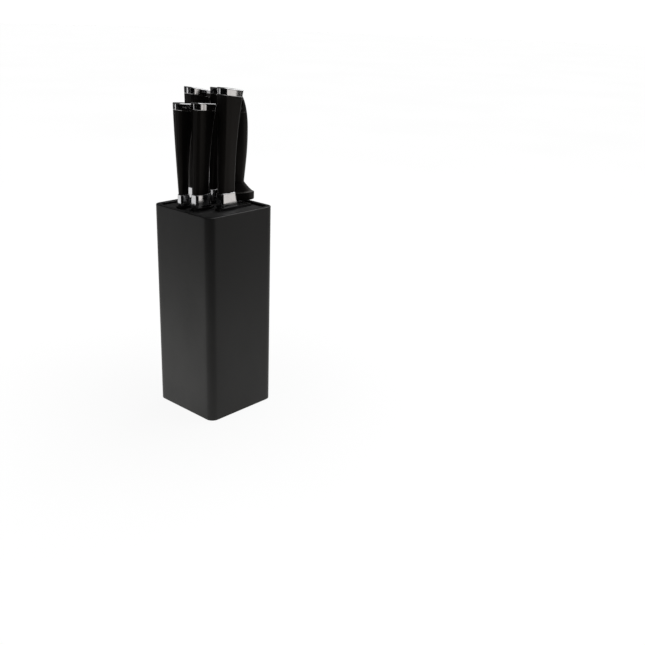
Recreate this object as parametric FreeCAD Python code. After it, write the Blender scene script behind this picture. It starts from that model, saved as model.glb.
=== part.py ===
import FreeCAD, Part
import math
import os

# Knife block with five kitchen knives and a sharpening steel.
# Millimetres, +Z up. The origin is the middle of the resting face, -Y is the front of the block.
# Every blade lies in an XZ plane with its back towards -X and its cutting edge towards +X.

V = FreeCAD.Vector

# ---- block ----
BLOCK_SIDE = 90.0
BLOCK_TOP = 225.0
CORNER_RADIUS = 8.5
WALL = 5.0
SHADOW_GAP = 1.0          # the casing ends this far above the table
EDGE_ROUND = 0.8
PAD_THICKNESS = 1.5
PAD_SIDE = 76.0
BASE_THICKNESS = 4.0
TOP_RECESS = 2.5          # slotted plate below the rim
TOP_THICKNESS = 4.0
COLLAR_WALL = 1.6         # raised lip round each slot, flush with the rim
GUIDE_HEIGHT = 70.0
GUIDE_THICKNESS = 3.0
POST_OFFSET = 34.5
POST_DIAMETER = 7.5
POST_SPIGOT_DIAMETER = 4.0
POST_SPIGOT_LENGTH = 2.5
SCREW_DIAMETER = 3.0
SCREW_HEAD_DIAMETER = 5.6
SCREW_LENGTH = 14.0
SLOT_PLAY = 0.6           # round each blade, on every side
REST_GAP = 0.3            # under each resting shoulder

FAR = 200.0               # reach of cutting blocks, beyond everything
INNER_SIDE = BLOCK_SIDE - 2 * WALL
INNER_RADIUS = CORNER_RADIUS - WALL
PLATE_TOP = BLOCK_TOP - TOP_RECESS
PLATE_BOTTOM = PLATE_TOP - TOP_THICKNESS
BASE_TOP = PAD_THICKNESS + BASE_THICKNESS
SHOULDER = BLOCK_TOP + REST_GAP   # underside of every knife's bolster

# ---- knives ----
# back_x: back edge of the bolster; row_y: middle plane of the blade; bolster, neck and butt sizes are
# (width along X, thickness along Y), and the bolster's third size is its height; flare: how far the
# butt's back lies beyond the bolster's back towards -X, negative where the handle leans the other
# way; length: bolster and handle together, at the middle of the butt; slant: the butt's tilt in
# degrees; blade: (length, width, back thickness).
CAP_HEIGHT = 7.5
KNIVES = {
    "chef": dict(
        back_x=-8.4, row_y=-17.5, bolster=(23.0, 10.8, 15.5), neck=(19.7, 10.2), butt=(27.8, 14.5),
        flare=-3.3, length=119.8, slant=7.8, blade=(200.0, 40.0, 2.6)),
    "utility": dict(
        back_x=-27.9, row_y=-1.0, bolster=(20.5, 11.0, 14.0), neck=(18.4, 10.0), butt=(26.0, 14.6),
        flare=-2.6, length=105.4, slant=5.0, blade=(125.0, 22.0, 1.9)),
    "paring": dict(
        back_x=-32.9, row_y=15.9, bolster=(12.2, 8.8, 12.0), neck=(11.0, 8.2), butt=(22.4, 14.2),
        flare=1.8, length=104.3, slant=4.5, blade=(90.0, 19.0, 1.7)),
    "bread": dict(
        back_x=-4.5, row_y=33.2, bolster=(21.0, 11.0, 13.5), neck=(18.6, 10.4), butt=(29.1, 16.2),
        flare=0.3, length=115.3, slant=10.5, blade=(200.0, 28.0, 2.1)),
    "carving": dict(
        back_x=8.9, row_y=15.5, bolster=(18.6, 11.0, 12.5), neck=(16.0, 10.4), butt=(25.4, 14.6),
        flare=-5.6, length=116.0, slant=9.0, blade=(200.0, 23.0, 2.1)),
}
BACK_STEP = 0.4           # the grip's back at the bolster, inside the bolster's back
BELLY_POWER = 2.1         # how late the belly swells: the power of the part of the height
GRIP_CORNER = 3.0         # corner radius of a grip's section
GRIP_LEVELS = (0.0, 0.2, 0.4, 0.6, 0.8, 1.0, 1.08)   # sections of a handle, as parts of its height
BOLSTER_CORNER = 2.0
BLADE_INSET = 0.6         # blade's back from the bolster's back
GRIND_START = 0.72        # where the flat side gives way to the ground side, as a part of the width
GRIND_HALF = 0.34         # half thickness there, as a part of the back's thickness
EDGE_THICKNESS = 0.3
TIP_TAPER = 0.45          # thickness lost from the bolster to the point
TIP_WIDTH = 0.9
CHEF_LAW = (2.3, 0.85)    # width at part s of the length: (1 - s to the first power) to the second
SLIM_LAW = (3.4, 0.9)
BREAD_LAW = (22.0, 0.5)
BLADE_STEPS = 26          # sections along a blade
LAST_STATION = 0.9995     # part of the length at which the width law is read for the point
HEEL = 7.0                # height over which the heel swells to the full width
TANG_WIDTH = 8.0
TANG_REACH = 0.72         # tang length as a part of the handle's
CAP_PIN_DIAMETER = 5.0
CAP_PIN_LENGTH = 8.0
CAP_PIN_SEAT = 2.0        # how deep the pin is rooted in the cap
SCALLOP_PITCH = 7.0       # bread knife
SCALLOP_DEPTH = 1.1
SCALLOP_START = 14.0      # middle of the first scallop below the shoulder
SCALLOP_END = 16.0        # plain stretch at the point

# ---- sharpening steel ----
STEEL_X = 30.2
STEEL_Y = -4.6
STEEL_TURN = -30.0        # long axis of the oval guard and grip, degrees from +X
STEEL_OVAL = 0.84         # narrow side of the grip over its wide side
GUARD_HALF_LENGTH = 17.8
GUARD_HALF_WIDTH = 8.8
GUARD_BOTTOM = 227.3
GUARD_EDGE = 8.7
GUARD_ROUND = 1.3
GUARD_CONE_TOP = 246.5
STEEL_NECK = 6.7          # half the grip's wide side at the neck, then (height, half) up to the bulge
STEEL_SWELL = ((255.0, 7.3), (266.0, 9.0), (277.0, 10.0), (290.0, 10.55))
STEEL_BULGE = 10.65
STEEL_BULGE_HEIGHT = 303.0
STEEL_TOP = 339.5
STEEL_CAP_HEIGHT = 20.0
ROD_RADIUS = 5.2
ROD_HOLE_PLAY = 0.8
ROD_POINT = 14.0
ROD_TIP_RADIUS = 0.6
ROD_TANG_RADIUS = 3.2
ROD_TANG_LENGTH = 60.0


def rounded_wire(width, depth, radius, z, cx=0.0, cy=0.0):
    """Closed wire: a rectangle with round corners at height z, middle at (cx, cy)."""
    a, b = width / 2, depth / 2
    r = min(radius, a - 0.05, b - 0.05)
    k = r * (1 - math.sqrt(0.5))
    corners = [(1, -1), (1, 1), (-1, 1), (-1, -1)]
    edges = []
    ends = []
    for sx, sy in corners:
        along_x = V(cx + sx * (a - r), cy + sy * b, z)
        along_y = V(cx + sx * a, cy + sy * (b - r), z)
        middle = V(cx + sx * (a - k), cy + sy * (b - k), z)
        first, last = (along_x, along_y) if sx * sy < 0 else (along_y, along_x)
        ends.append((first, middle, last))
    for i, (first, middle, last) in enumerate(ends):
        edges.append(Part.Arc(first, middle, last).toShape())
        edges.append(Part.LineSegment(last, ends[(i + 1) % 4][0]).toShape())
    return Part.Wire(edges)


def rounded_prism(side, radius, z0, z1):
    """Square prism with round upright corners."""
    return Part.Face(rounded_wire(side, side, radius, z0)).extrude(V(0, 0, z1 - z0))


def box(x0, x1, y0, y1, z0, z1):
    return Part.makeBox(x1 - x0, y1 - y0, z1 - z0, V(x0, y0, z0))


def cylinder(x, y, radius, z0, z1):
    return Part.makeCylinder(radius, z1 - z0, V(x, y, z0))


def loft(wires, ruled=False):
    return Part.makeLoft(wires, True, ruled)


def above_slant(cx, cz, degrees):
    """Large block whose lower face passes through (cx, cz) and falls towards +X."""
    block = Part.makeBox(2 * FAR, 2 * FAR, FAR, V(cx - FAR, -FAR, cz))
    block.rotate(V(cx, 0, cz), V(0, 1, 0), degrees)
    return block


def post_places():
    return [(sx * POST_OFFSET, sy * POST_OFFSET) for sx in (-1, 1) for sy in (-1, 1)]


# ---- block pieces ----
def make_casing():
    outer = rounded_prism(BLOCK_SIDE, CORNER_RADIUS, SHADOW_GAP, BLOCK_TOP)
    inner = rounded_prism(INNER_SIDE, INNER_RADIUS, 0, BLOCK_TOP + 1)
    tube = outer.cut(inner)
    rim = [e for e in tube.Edges if all(abs(v.Z - BLOCK_TOP) < 1e-6 for v in e.Vertexes)]
    return tube.makeFillet(EDGE_ROUND, rim)


def blade_slot(knife, z0, z1, extra=0.0):
    """Room for one blade, larger by extra all round."""
    length, width, thick = knife["blade"]
    x0 = knife["back_x"] + BLADE_INSET
    play = SLOT_PLAY + extra
    half = thick / 2 + play
    return box(x0 - play, x0 + width + play, knife["row_y"] - half, knife["row_y"] + half, z0, z1)


def rod_hole(z0, z1, extra=0.0):
    return cylinder(STEEL_X, STEEL_Y, ROD_RADIUS + ROD_HOLE_PLAY + extra, z0, z1)


def make_top_plate():
    plate = rounded_prism(INNER_SIDE, INNER_RADIUS, PLATE_BOTTOM, PLATE_TOP)
    well = rounded_prism(INNER_SIDE, INNER_RADIUS, PLATE_BOTTOM, BLOCK_TOP)
    collars = [blade_slot(knife, PLATE_BOTTOM, BLOCK_TOP, COLLAR_WALL) for knife in KNIVES.values()]
    collars.append(rod_hole(PLATE_BOTTOM, BLOCK_TOP, COLLAR_WALL))
    plate = plate.fuse(collars).common(well)
    for knife in KNIVES.values():
        plate = plate.cut(blade_slot(knife, PLATE_BOTTOM - 1, BLOCK_TOP + 1))
    plate = plate.cut(rod_hole(PLATE_BOTTOM - 1, BLOCK_TOP + 1))
    for x, y in post_places():
        spigot = cylinder(x, y, POST_SPIGOT_DIAMETER / 2, PLATE_BOTTOM - 1, PLATE_BOTTOM + POST_SPIGOT_LENGTH)
        plate = plate.cut(spigot)
    return plate.removeSplitter()


def make_lower_guide():
    top = GUIDE_HEIGHT + GUIDE_THICKNESS
    plate = rounded_prism(INNER_SIDE, INNER_RADIUS, GUIDE_HEIGHT, top)
    for name, knife in KNIVES.items():
        if SHOULDER - knife["blade"][0] < GUIDE_HEIGHT:
            plate = plate.cut(blade_slot(knife, GUIDE_HEIGHT - 1, top + 1))
    plate = plate.cut(rod_hole(GUIDE_HEIGHT - 1, top + 1))
    for x, y in post_places():
        plate = plate.cut(cylinder(x, y, POST_DIAMETER / 2, GUIDE_HEIGHT - 1, top + 1))
    return plate


def screw_solid(x, y):
    """Countersunk screw, head down, flush with the underside of the base."""
    head = SCREW_HEAD_DIAMETER / 2
    shank = SCREW_DIAMETER / 2
    z0 = PAD_THICKNESS
    cone_height = head - shank
    cone = Part.makeCone(head, shank, cone_height, V(x, y, z0))
    return cone.fuse(cylinder(x, y, shank, z0 + cone_height, z0 + SCREW_LENGTH)).removeSplitter()


def make_base_plate():
    plate = rounded_prism(INNER_SIDE, INNER_RADIUS, PAD_THICKNESS, BASE_TOP)
    for x, y in post_places():
        plate = plate.cut(screw_solid(x, y))
    return plate


def make_support_posts():
    posts = []
    for x, y in post_places():
        post = cylinder(x, y, POST_DIAMETER / 2, BASE_TOP, PLATE_BOTTOM)
        spigot = cylinder(x, y, POST_SPIGOT_DIAMETER / 2, PLATE_BOTTOM, PLATE_BOTTOM + POST_SPIGOT_LENGTH)
        posts.append(post.fuse(spigot).removeSplitter().cut(screw_solid(x, y)))
    return Part.makeCompound(posts)


def make_base_screws():
    return Part.makeCompound([screw_solid(x, y) for x, y in post_places()])


def make_base_pad():
    return rounded_prism(PAD_SIDE, INNER_RADIUS, 0, PAD_THICKNESS)


# ---- knife pieces ----
def handle_section(knife, z):
    """Back, belly and thickness of the handle at height z: the back moves early, the belly late."""
    bolster_height = knife["bolster"][2]
    f = max((z - SHOULDER - bolster_height) / (knife["length"] - bolster_height), 0.0)
    neck_w, neck_t = knife["neck"]
    butt_w, butt_t = knife["butt"]
    neck_back = knife["back_x"] + BACK_STEP
    butt_back = knife["back_x"] - knife["flare"]
    back = neck_back + (butt_back - neck_back) * math.sin(min(f, 1.0) * math.pi / 2)
    belly = neck_back + neck_w + (butt_back + butt_w - neck_back - neck_w) * f ** BELLY_POWER
    thick = neck_t + (butt_t - neck_t) * min(f, 1.0)
    return back, belly, thick


def section_wire(knife, z):
    back, belly, thick = handle_section(knife, z)
    return rounded_wire(belly - back, thick, GRIP_CORNER, z, (back + belly) / 2, knife["row_y"])


def handle_body(knife):
    start = SHOULDER + knife["bolster"][2]
    rise = SHOULDER + knife["length"] - start
    heights = [start + rise * f for f in GRIP_LEVELS]
    return loft([section_wire(knife, z) for z in heights])


def butt_centre(knife):
    top = SHOULDER + knife["length"]
    back, belly, thick = handle_section(knife, top)
    return (back + belly) / 2, top


def tang_box(knife):
    """Flat tang, in the middle of what the leaning grip leaves free over the tang's height."""
    top = SHOULDER + knife["length"] * TANG_REACH
    low_back, low_belly, thick = handle_section(knife, SHOULDER)
    high_back = handle_section(knife, top)[0]
    middle = (max(low_back, high_back) + low_belly) / 2
    half = knife["blade"][2] / 2
    return box(middle - TANG_WIDTH / 2, middle + TANG_WIDTH / 2, knife["row_y"] - half, knife["row_y"] + half,
               SHOULDER, top)


def cap_pin(knife):
    cx, cz = butt_centre(knife)
    seam = cz - CAP_HEIGHT
    radius = CAP_PIN_DIAMETER / 2
    return cylinder(cx, knife["row_y"], radius, seam - CAP_PIN_LENGTH, seam + CAP_PIN_SEAT)


def make_grip(knife):
    cx, cz = butt_centre(knife)
    grip = handle_body(knife).cut(above_slant(cx, cz - CAP_HEIGHT, knife["slant"]))
    return grip.cut(tang_box(knife)).cut(cap_pin(knife))


def make_end_cap(knife):
    cx, cz = butt_centre(knife)
    body = handle_body(knife).common(above_slant(cx, cz - CAP_HEIGHT, knife["slant"]))
    cap = body.cut(above_slant(cx, cz, knife["slant"]))
    return cap.fuse(cap_pin(knife)).removeSplitter()


def make_bolster(knife):
    low_w, low_t, height = knife["bolster"]
    high_w, high_t = knife["neck"]
    low_middle = knife["back_x"] + low_w / 2
    high_middle = knife["back_x"] + BACK_STEP + high_w / 2
    top = SHOULDER + height
    wires = [
        rounded_wire(low_w, low_t, BOLSTER_CORNER, SHOULDER, low_middle, knife["row_y"]),
        rounded_wire(high_w, high_t, BOLSTER_CORNER, top, high_middle, knife["row_y"]),
    ]
    return loft(wires, True).cut(tang_box(knife))


def part_width(law, s):
    """Width at part s of the length, as a part of the full width: full at the heel, a point at the end."""
    return (1 - s ** law[0]) ** law[1]


def blade_wire(back_x, row_y, width, thick, z):
    """Blade section: full thickness at the back, ground to a thin edge."""
    grind_x = width * GRIND_START
    grind_y = thick * GRIND_HALF
    points = [
        (0.0, thick / 2), (grind_x, grind_y), (width, EDGE_THICKNESS / 2),
        (width, -EDGE_THICKNESS / 2), (grind_x, -grind_y), (0.0, -thick / 2),
    ]
    corners = [V(back_x + x, row_y + y, z) for x, y in points]
    return Part.makePolygon(corners + corners[:1])


def make_blade(knife, law):
    """Blade from its sections, closer together near the point, with its tang."""
    length, width, thick = knife["blade"]
    back_x = knife["back_x"] + BLADE_INSET
    neck = knife["bolster"][0] - 2 * BLADE_INSET
    wires = []
    for i in range(BLADE_STEPS + 1):
        s = math.sin(i / BLADE_STEPS * math.pi / 2)
        drop = s * length
        here = max(width * part_width(law, min(s, LAST_STATION)), TIP_WIDTH)
        if neck < width:
            here = neck + (here - neck) * math.sin(min(drop / HEEL, 1.0) * math.pi / 2)
        wires.append(blade_wire(back_x, knife["row_y"], here, thick * (1 - TIP_TAPER * s), SHOULDER - drop))
    return loft(wires, True).fuse(tang_box(knife)).removeSplitter()


def make_bread_blade(knife):
    blade = make_blade(knife, BREAD_LAW)
    length, width, thick = knife["blade"]
    edge_x = knife["back_x"] + BLADE_INSET + width
    radius = (SCALLOP_PITCH ** 2 / 4 + SCALLOP_DEPTH ** 2) / (2 * SCALLOP_DEPTH)
    count = int((length - SCALLOP_START - SCALLOP_END) / SCALLOP_PITCH)
    cutters = []
    for i in range(count):
        z = SHOULDER - SCALLOP_START - i * SCALLOP_PITCH
        centre = V(edge_x - SCALLOP_DEPTH + radius, knife["row_y"] - thick, z)
        cutters.append(Part.makeCylinder(radius, 2 * thick, centre, V(0, 1, 0)))
    return blade.cut(cutters)


# ---- sharpening steel pieces ----
def oval_wire(half_length, half_width, z):
    if abs(half_length - half_width) < 1e-6:
        return Part.Wire(Part.Circle(V(STEEL_X, STEEL_Y, z), V(0, 0, 1), half_length).toShape())
    ellipse = Part.Ellipse(V(STEEL_X, STEEL_Y, z), half_length, half_width).toShape()
    ellipse.rotate(V(STEEL_X, STEEL_Y, z), V(0, 0, 1), STEEL_TURN)
    return Part.Wire(ellipse)


def rod_tang():
    return cylinder(STEEL_X, STEEL_Y, ROD_TANG_RADIUS, GUARD_BOTTOM - 1, GUARD_BOTTOM + ROD_TANG_LENGTH)


def make_steel_rod():
    tip = BASE_TOP + REST_GAP
    rod = cylinder(STEEL_X, STEEL_Y, ROD_RADIUS, tip + ROD_POINT, GUARD_BOTTOM)
    point = Part.makeCone(ROD_TIP_RADIUS, ROD_RADIUS, ROD_POINT, V(STEEL_X, STEEL_Y, tip))
    return rod.fuse([point, rod_tang()]).removeSplitter()


def make_steel_guard():
    a, b, r = GUARD_HALF_LENGTH, GUARD_HALF_WIDTH, GUARD_ROUND
    edge_top = GUARD_BOTTOM + GUARD_EDGE
    levels = [
        (a - r, b - r, GUARD_BOTTOM), (a, b, GUARD_BOTTOM + r), (a, b, edge_top - r / 2),
        (a - r / 2, b - r / 2, edge_top), (STEEL_NECK, STEEL_NECK * STEEL_OVAL, GUARD_CONE_TOP),
    ]
    return loft([oval_wire(*level) for level in levels], True).cut(rod_tang())


def steel_handle_body():
    """Round handle turned about its axis, then flattened to an oval and turned to the guard's direction."""
    points = [V(STEEL_NECK, 0, GUARD_CONE_TOP)] + [V(half, 0, z) for z, half in STEEL_SWELL]
    points.append(V(STEEL_BULGE, 0, STEEL_BULGE_HEIGHT))
    side = Part.BSplineCurve()
    side.interpolate(points)
    rise = STEEL_TOP - STEEL_BULGE_HEIGHT
    dome = Part.BSplineCurve()
    turns = [math.radians(15 * i) for i in range(7)]
    dome.interpolate([
        V(STEEL_BULGE * math.cos(turn), 0, STEEL_BULGE_HEIGHT + rise * math.sin(turn)) for turn in turns])
    foot = V(0, 0, GUARD_CONE_TOP)
    edges = [side.toShape(), dome.toShape(), Part.LineSegment(V(0, 0, STEEL_TOP), foot).toShape(),
             Part.LineSegment(foot, points[0]).toShape()]
    body = Part.Face(Part.Wire(edges)).revolve(V(0, 0, 0), V(0, 0, 1), 360)
    flatten = FreeCAD.Matrix()
    flatten.scale(V(1, STEEL_OVAL, 1))
    body = body.transformGeometry(flatten)
    body.rotate(V(0, 0, 0), V(0, 0, 1), STEEL_TURN)
    body.translate(V(STEEL_X, STEEL_Y, 0))
    return body


def steel_cap_space():
    reach = 3 * STEEL_BULGE
    return box(STEEL_X - reach, STEEL_X + reach, STEEL_Y - reach, STEEL_Y + reach,
               STEEL_TOP - STEEL_CAP_HEIGHT, STEEL_TOP + 1)


def make_steel_grip():
    return steel_handle_body().cut(rod_tang()).cut(steel_cap_space())


def make_steel_end_cap():
    return steel_handle_body().common(steel_cap_space())


def make_all():
    parts = {
        "casing": make_casing(),
        "top_plate": make_top_plate(),
        "lower_guide": make_lower_guide(),
        "support_posts": make_support_posts(),
        "base_plate": make_base_plate(),
        "base_screws": make_base_screws(),
        "base_pad": make_base_pad(),
        "steel_rod": make_steel_rod(),
        "steel_guard": make_steel_guard(),
        "steel_grip": make_steel_grip(),
        "steel_end_cap": make_steel_end_cap(),
    }
    laws = {"chef": CHEF_LAW, "utility": SLIM_LAW, "paring": SLIM_LAW, "carving": SLIM_LAW}
    for name, knife in KNIVES.items():
        blade = make_bread_blade(knife) if name == "bread" else make_blade(knife, laws[name])
        parts[name + "_blade"] = blade
        parts[name + "_bolster"] = make_bolster(knife)
        parts[name + "_grip"] = make_grip(knife)
        parts[name + "_end_cap"] = make_end_cap(knife)
    return parts


os.makedirs("parts", exist_ok=True)
for node, shape in make_all().items():
    if not shape.isValid():
        raise RuntimeError(node + " is not a valid shape")
    shape.exportStep("parts/" + node + ".step")
    print(node, len(shape.Solids), round(shape.Volume))
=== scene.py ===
import math

import bpy
import numpy as np
from bpy.props import FloatProperty, FloatVectorProperty, IntProperty, PointerProperty
from bpy.types import Operator, Panel, PropertyGroup
from mathutils import Matrix, Vector


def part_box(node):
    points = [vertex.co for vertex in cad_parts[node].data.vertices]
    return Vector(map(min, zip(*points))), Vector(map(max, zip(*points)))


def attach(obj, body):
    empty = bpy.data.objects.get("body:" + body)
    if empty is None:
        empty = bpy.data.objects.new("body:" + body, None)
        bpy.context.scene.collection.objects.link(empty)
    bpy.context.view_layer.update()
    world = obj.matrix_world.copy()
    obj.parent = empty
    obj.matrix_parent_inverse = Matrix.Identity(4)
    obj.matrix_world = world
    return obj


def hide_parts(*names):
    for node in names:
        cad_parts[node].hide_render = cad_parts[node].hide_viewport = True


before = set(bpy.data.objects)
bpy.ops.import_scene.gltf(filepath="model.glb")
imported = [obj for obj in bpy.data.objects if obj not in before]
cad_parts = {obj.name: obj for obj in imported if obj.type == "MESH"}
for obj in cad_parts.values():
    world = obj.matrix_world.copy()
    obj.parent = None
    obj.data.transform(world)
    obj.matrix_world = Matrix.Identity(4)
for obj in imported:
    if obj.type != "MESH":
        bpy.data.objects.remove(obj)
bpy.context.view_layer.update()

bl_info = {
    "name": "Knife Block Maker",
    "version": (1, 0, 0),
    "blender": (4, 5, 0),
    "location": "View3D > Sidebar > Knife Block",
    "description": "Builds the surfaces and finishes of an upright knife block with its knives and steel",
    "category": "Object",
}

MM = 0.001

# Each knife's handle law: the neck where the grip leaves the bolster (width, thickness), the butt
# (width, thickness), how far the butt's back lies behind the bolster's, and the butt's tilt in
# degrees. The rest of a knife's sizes and its place are read from the frame.
HANDLES = {
    "chef": dict(neck=(19.7, 10.2), butt=(27.8, 14.5), flare=-3.3, slant=7.8),
    "utility": dict(neck=(18.4, 10.0), butt=(26.0, 14.6), flare=-2.6, slant=5.0),
    "paring": dict(neck=(11.0, 8.2), butt=(22.4, 14.2), flare=1.8, slant=4.5),
    "bread": dict(neck=(18.6, 10.4), butt=(29.1, 16.2), flare=0.3, slant=10.5),
    "carving": dict(neck=(16.0, 10.4), butt=(25.4, 14.6), flare=-5.6, slant=9.0),
}
BACK_STEP = 0.4 * MM      # the grip's back at the bolster, inside the bolster's back
BELLY_POWER = 2.1
# Each blade's width law: width * (1 - s^power)^root, s from 0 at the bolster to 1 at the point.
BLADE_FORMS = {
    "chef": (2.3, 0.85), "utility": (3.4, 0.9), "paring": (3.4, 0.9),
    "bread": (22.0, 0.5), "carving": (3.4, 0.9),
}
BLADE_THICKNESS = {"chef": 2.6, "utility": 1.9, "paring": 1.7, "bread": 2.1, "carving": 2.1}
TIP_TAPER = 0.45          # part of a blade's thickness lost from the bolster to the point
TIP_WIDTH = 0.35 * MM
BACK_ROUND = 0.22 * MM    # chamfer along a blade's back
GRIND_THICKNESS = 0.88    # thickness at the grinding line, as a part of the back's
SCALLOP_START = 14.0 * MM     # plain edge below the bread knife's bolster
SCALLOP_END = 16.0 * MM       # plain edge at its point
BOLSTER_EDGE = 0.35 * MM      # chamfer of a bolster's two ends
BOLSTER_ROUND = 0.3 * MM      # round of its upright edges
CAP_DOME = 0.35 * MM

# The sharpening steel: an oval guard and grip, turned about its axis, and a ridged rod.
STEEL_TURN = math.radians(-30.0)
STEEL_OVAL = 0.84         # narrow side of the grip over its wide side
GRIP_POWER = 2.15         # fullness of the grip's oval, where 2 is an ellipse
NECK = 6.7 * MM           # half the grip's wide side at the guard
BULGE = 10.6 * MM         # and at its widest
BULGE_Z = 303.0 * MM
GUARD_LONG = 17.8 * MM
GUARD_SHORT = 8.8 * MM
GUARD_EDGE = 8.7 * MM     # height of the guard's upright rim with its rounded edges
GUARD_ROUND = 1.4 * MM
PRESS_HALF = (4.2 * MM, 5.6 * MM)     # half width and height of the recess in the grip's end
PRESS_RISE = 8.0 * MM     # its middle above the seam
PRESS_DEPTH = 1.1 * MM
ROD_POINT = 14.0 * MM
RIDGE_DEPTH = 0.14 * MM

# The stage, in metres and degrees. A softbox has its direction from +X, its distance and height,
# its width and height, and its colour.
MARKS = "marks"           # name of the mesh attribute that holds the casing's painted rim highlight, the blades' ground zone, and the sheets' glow with the floor's painted shadow
FLOOR_RADIUS = 11.0
FLOOR_LEVEL = -0.0002     # just under the pad
GLOW_LEVEL = -0.0006      # the light's sheet, just under the floor
# reach of the painted shadow in the floor's glow round the block's foot
PAINTED_SHADOW_RADIUS = 0.22
LEFT_BOX = (128.0, 0.78, 0.15, (0.17, 0.26), (1.0, 1.0, 1.0))
RIGHT_BOX = (309.0, 0.78, 0.15, (0.17, 0.26), (1.0, 0.96, 0.92))
TOP_BOX = (350.0, 0.6, 1.1, (1.3, 1.3), (1.0, 1.0, 1.0))
AIM_HEIGHT = 0.25         # the highest point that a softbox faces
AWAY = math.radians(41.4)        # direction of the long end of the paper, seen from above, from +X
SHADE = math.radians(260.0)      # direction of its shaded side
CAMERA_PLACE = (-0.5868, -0.6762, 0.4332)
CAMERA_TURN = math.radians(48.6)     # from +Y towards +X
CAMERA_PITCH = math.radians(20.78)   # below level
CAMERA_ROLL = math.radians(2.06)


# ---------------------------------------------------------------- settings
class BlockSettings(PropertyGroup):
    """Sizes and colours of the block"""
    corner_radius: FloatProperty(
        name="Corner radius", description="Round of the four upright corners", default=8.5 * MM,
        unit="LENGTH")
    wall: FloatProperty(
        name="Wall", description="Thickness of the casing's wall", default=5.0 * MM, unit="LENGTH")
    rim_round: FloatProperty(
        name="Rim round", description="Round of the rim's two edges", default=0.8 * MM, unit="LENGTH")
    colour: FloatVectorProperty(
        name="Colour", description="Colour of the satin casing", default=(0.008, 0.008, 0.0082),
        subtype="COLOR")
    roughness: FloatProperty(
        name="Roughness", description="Roughness of the satin casing", default=0.42, subtype="FACTOR")


class HandleSettings(PropertyGroup):
    """Sizes and colours shared by all handles"""
    corner: FloatProperty(
        name="Corner", description="Round of the section's corners", default=3.0 * MM, unit="LENGTH")
    crown: FloatProperty(
        name="Crown", description="How far the middle of each side stands out", default=0.35 * MM,
        unit="LENGTH")
    seam: FloatProperty(
        name="Seam", description="Depth of the fine groove where two pieces meet", default=0.22 * MM,
        unit="LENGTH")
    cap_height: FloatProperty(
        name="Cap height", description="Height of the steel end cap", default=7.5 * MM, unit="LENGTH")
    cap_round: FloatProperty(
        name="Cap round", description="Round of the end cap's outer edge", default=0.9 * MM, unit="LENGTH")
    bevel: FloatProperty(
        name="Bevel", description="Width of the bolster's slanted corners", default=1.6 * MM, unit="LENGTH")
    colour: FloatVectorProperty(
        name="Colour", description="Colour of the black grips", default=(0.0042, 0.0036, 0.0032),
        subtype="COLOR")
    polish: FloatVectorProperty(
        name="Polished steel", description="Colour of bolsters and caps", default=(0.74, 0.74, 0.75),
        subtype="COLOR")


class BladeSettings(PropertyGroup):
    """Sizes and colours of the blades and the rod"""
    ground: FloatProperty(
        name="Ground part", description="Part of the width that is ground to the edge", default=0.27,
        subtype="FACTOR")
    heel: FloatProperty(
        name="Heel", description="Height of the curved heel below the bolster", default=7.0 * MM,
        unit="LENGTH")
    scallop_pitch: FloatProperty(
        name="Scallop pitch", description="Length of one scallop of the bread knife", default=7.0 * MM,
        unit="LENGTH")
    scallop_depth: FloatProperty(
        name="Scallop depth", description="Depth of one scallop of the bread knife", default=1.1 * MM,
        unit="LENGTH")
    stations: IntProperty(name="Stations", description="Sections along each blade", default=150)
    rod_ridges: IntProperty(name="Rod ridges", description="Fine ridges round the sharpening rod", default=44)
    colour: FloatVectorProperty(
        name="Colour", description="Colour of the blade steel", default=(0.62, 0.62, 0.635), subtype="COLOR")


class StageSettings(PropertyGroup):
    """Floor, light and camera"""
    floor_colour: FloatVectorProperty(
        name="Floor colour", description="Colour of the plain floor", default=(1.0, 1.0, 1.0),
        subtype="COLOR")
    # depth of the painted shadow in the floor's glow at the block's foot, and also the floor's pale diffuse
    # colour that shows real shadows
    floor_pale_and_painted_shadow: FloatProperty(
        name="Floor shadow", description="How much darker the floor is at the foot of the block",
        default=0.06)
    glow: FloatProperty(
        name="Bounce", description="Light that the floor throws back onto the block", default=0.95)
    glow_behind: FloatProperty(
        name="Bounce behind", description="How far the bright floor reaches behind", default=3.0,
        unit="LENGTH")
    glow_sides: FloatProperty(
        name="Bounce beside", description="How far the bright floor reaches to the sides and in front",
        default=0.62, unit="LENGTH")
    glow_shade: FloatProperty(
        name="Bounce shade", description="Light lost on the floor's shaded side", default=0.42,
        subtype="FACTOR")
    left: FloatProperty(name="Left softbox", description="Radiance of the left softbox", default=0.85)
    right: FloatProperty(name="Right softbox", description="Radiance of the right softbox", default=0.85)
    top: FloatProperty(name="Top softbox", description="Radiance of the overhead softbox", default=1.8)
    world: FloatProperty(name="World", description="Strength of the even light from all round", default=0.06)
    lens: FloatProperty(name="Lens", description="Focal length in millimetres on a 36 mm film", default=47.84)


# ---------------------------------------------------------------- mesh helpers
def loft_faces(stations, around):
    """Quads between rings that run anticlockwise seen from +Z and climb in +Z, with both ends closed."""
    i = np.arange(stations - 1)[:, None] * around
    j = np.arange(around)[None, :]
    k = (j + 1) % around
    quads = np.stack([i + j, i + k, i + around + k, i + around + j], -1).reshape(-1, 4)
    last = (stations - 1) * around
    bottom = np.arange(around)[::-1]
    top = np.arange(last, last + around)
    return quads.tolist() + [bottom.tolist(), top.tolist()]


def set_marks(mesh, values):
    """Stores one number per point, for a material to read."""
    layer = mesh.attributes.new(MARKS, "FLOAT", "POINT")
    layer.data.foreach_set("value", values.reshape(-1).astype(np.float32))


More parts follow.
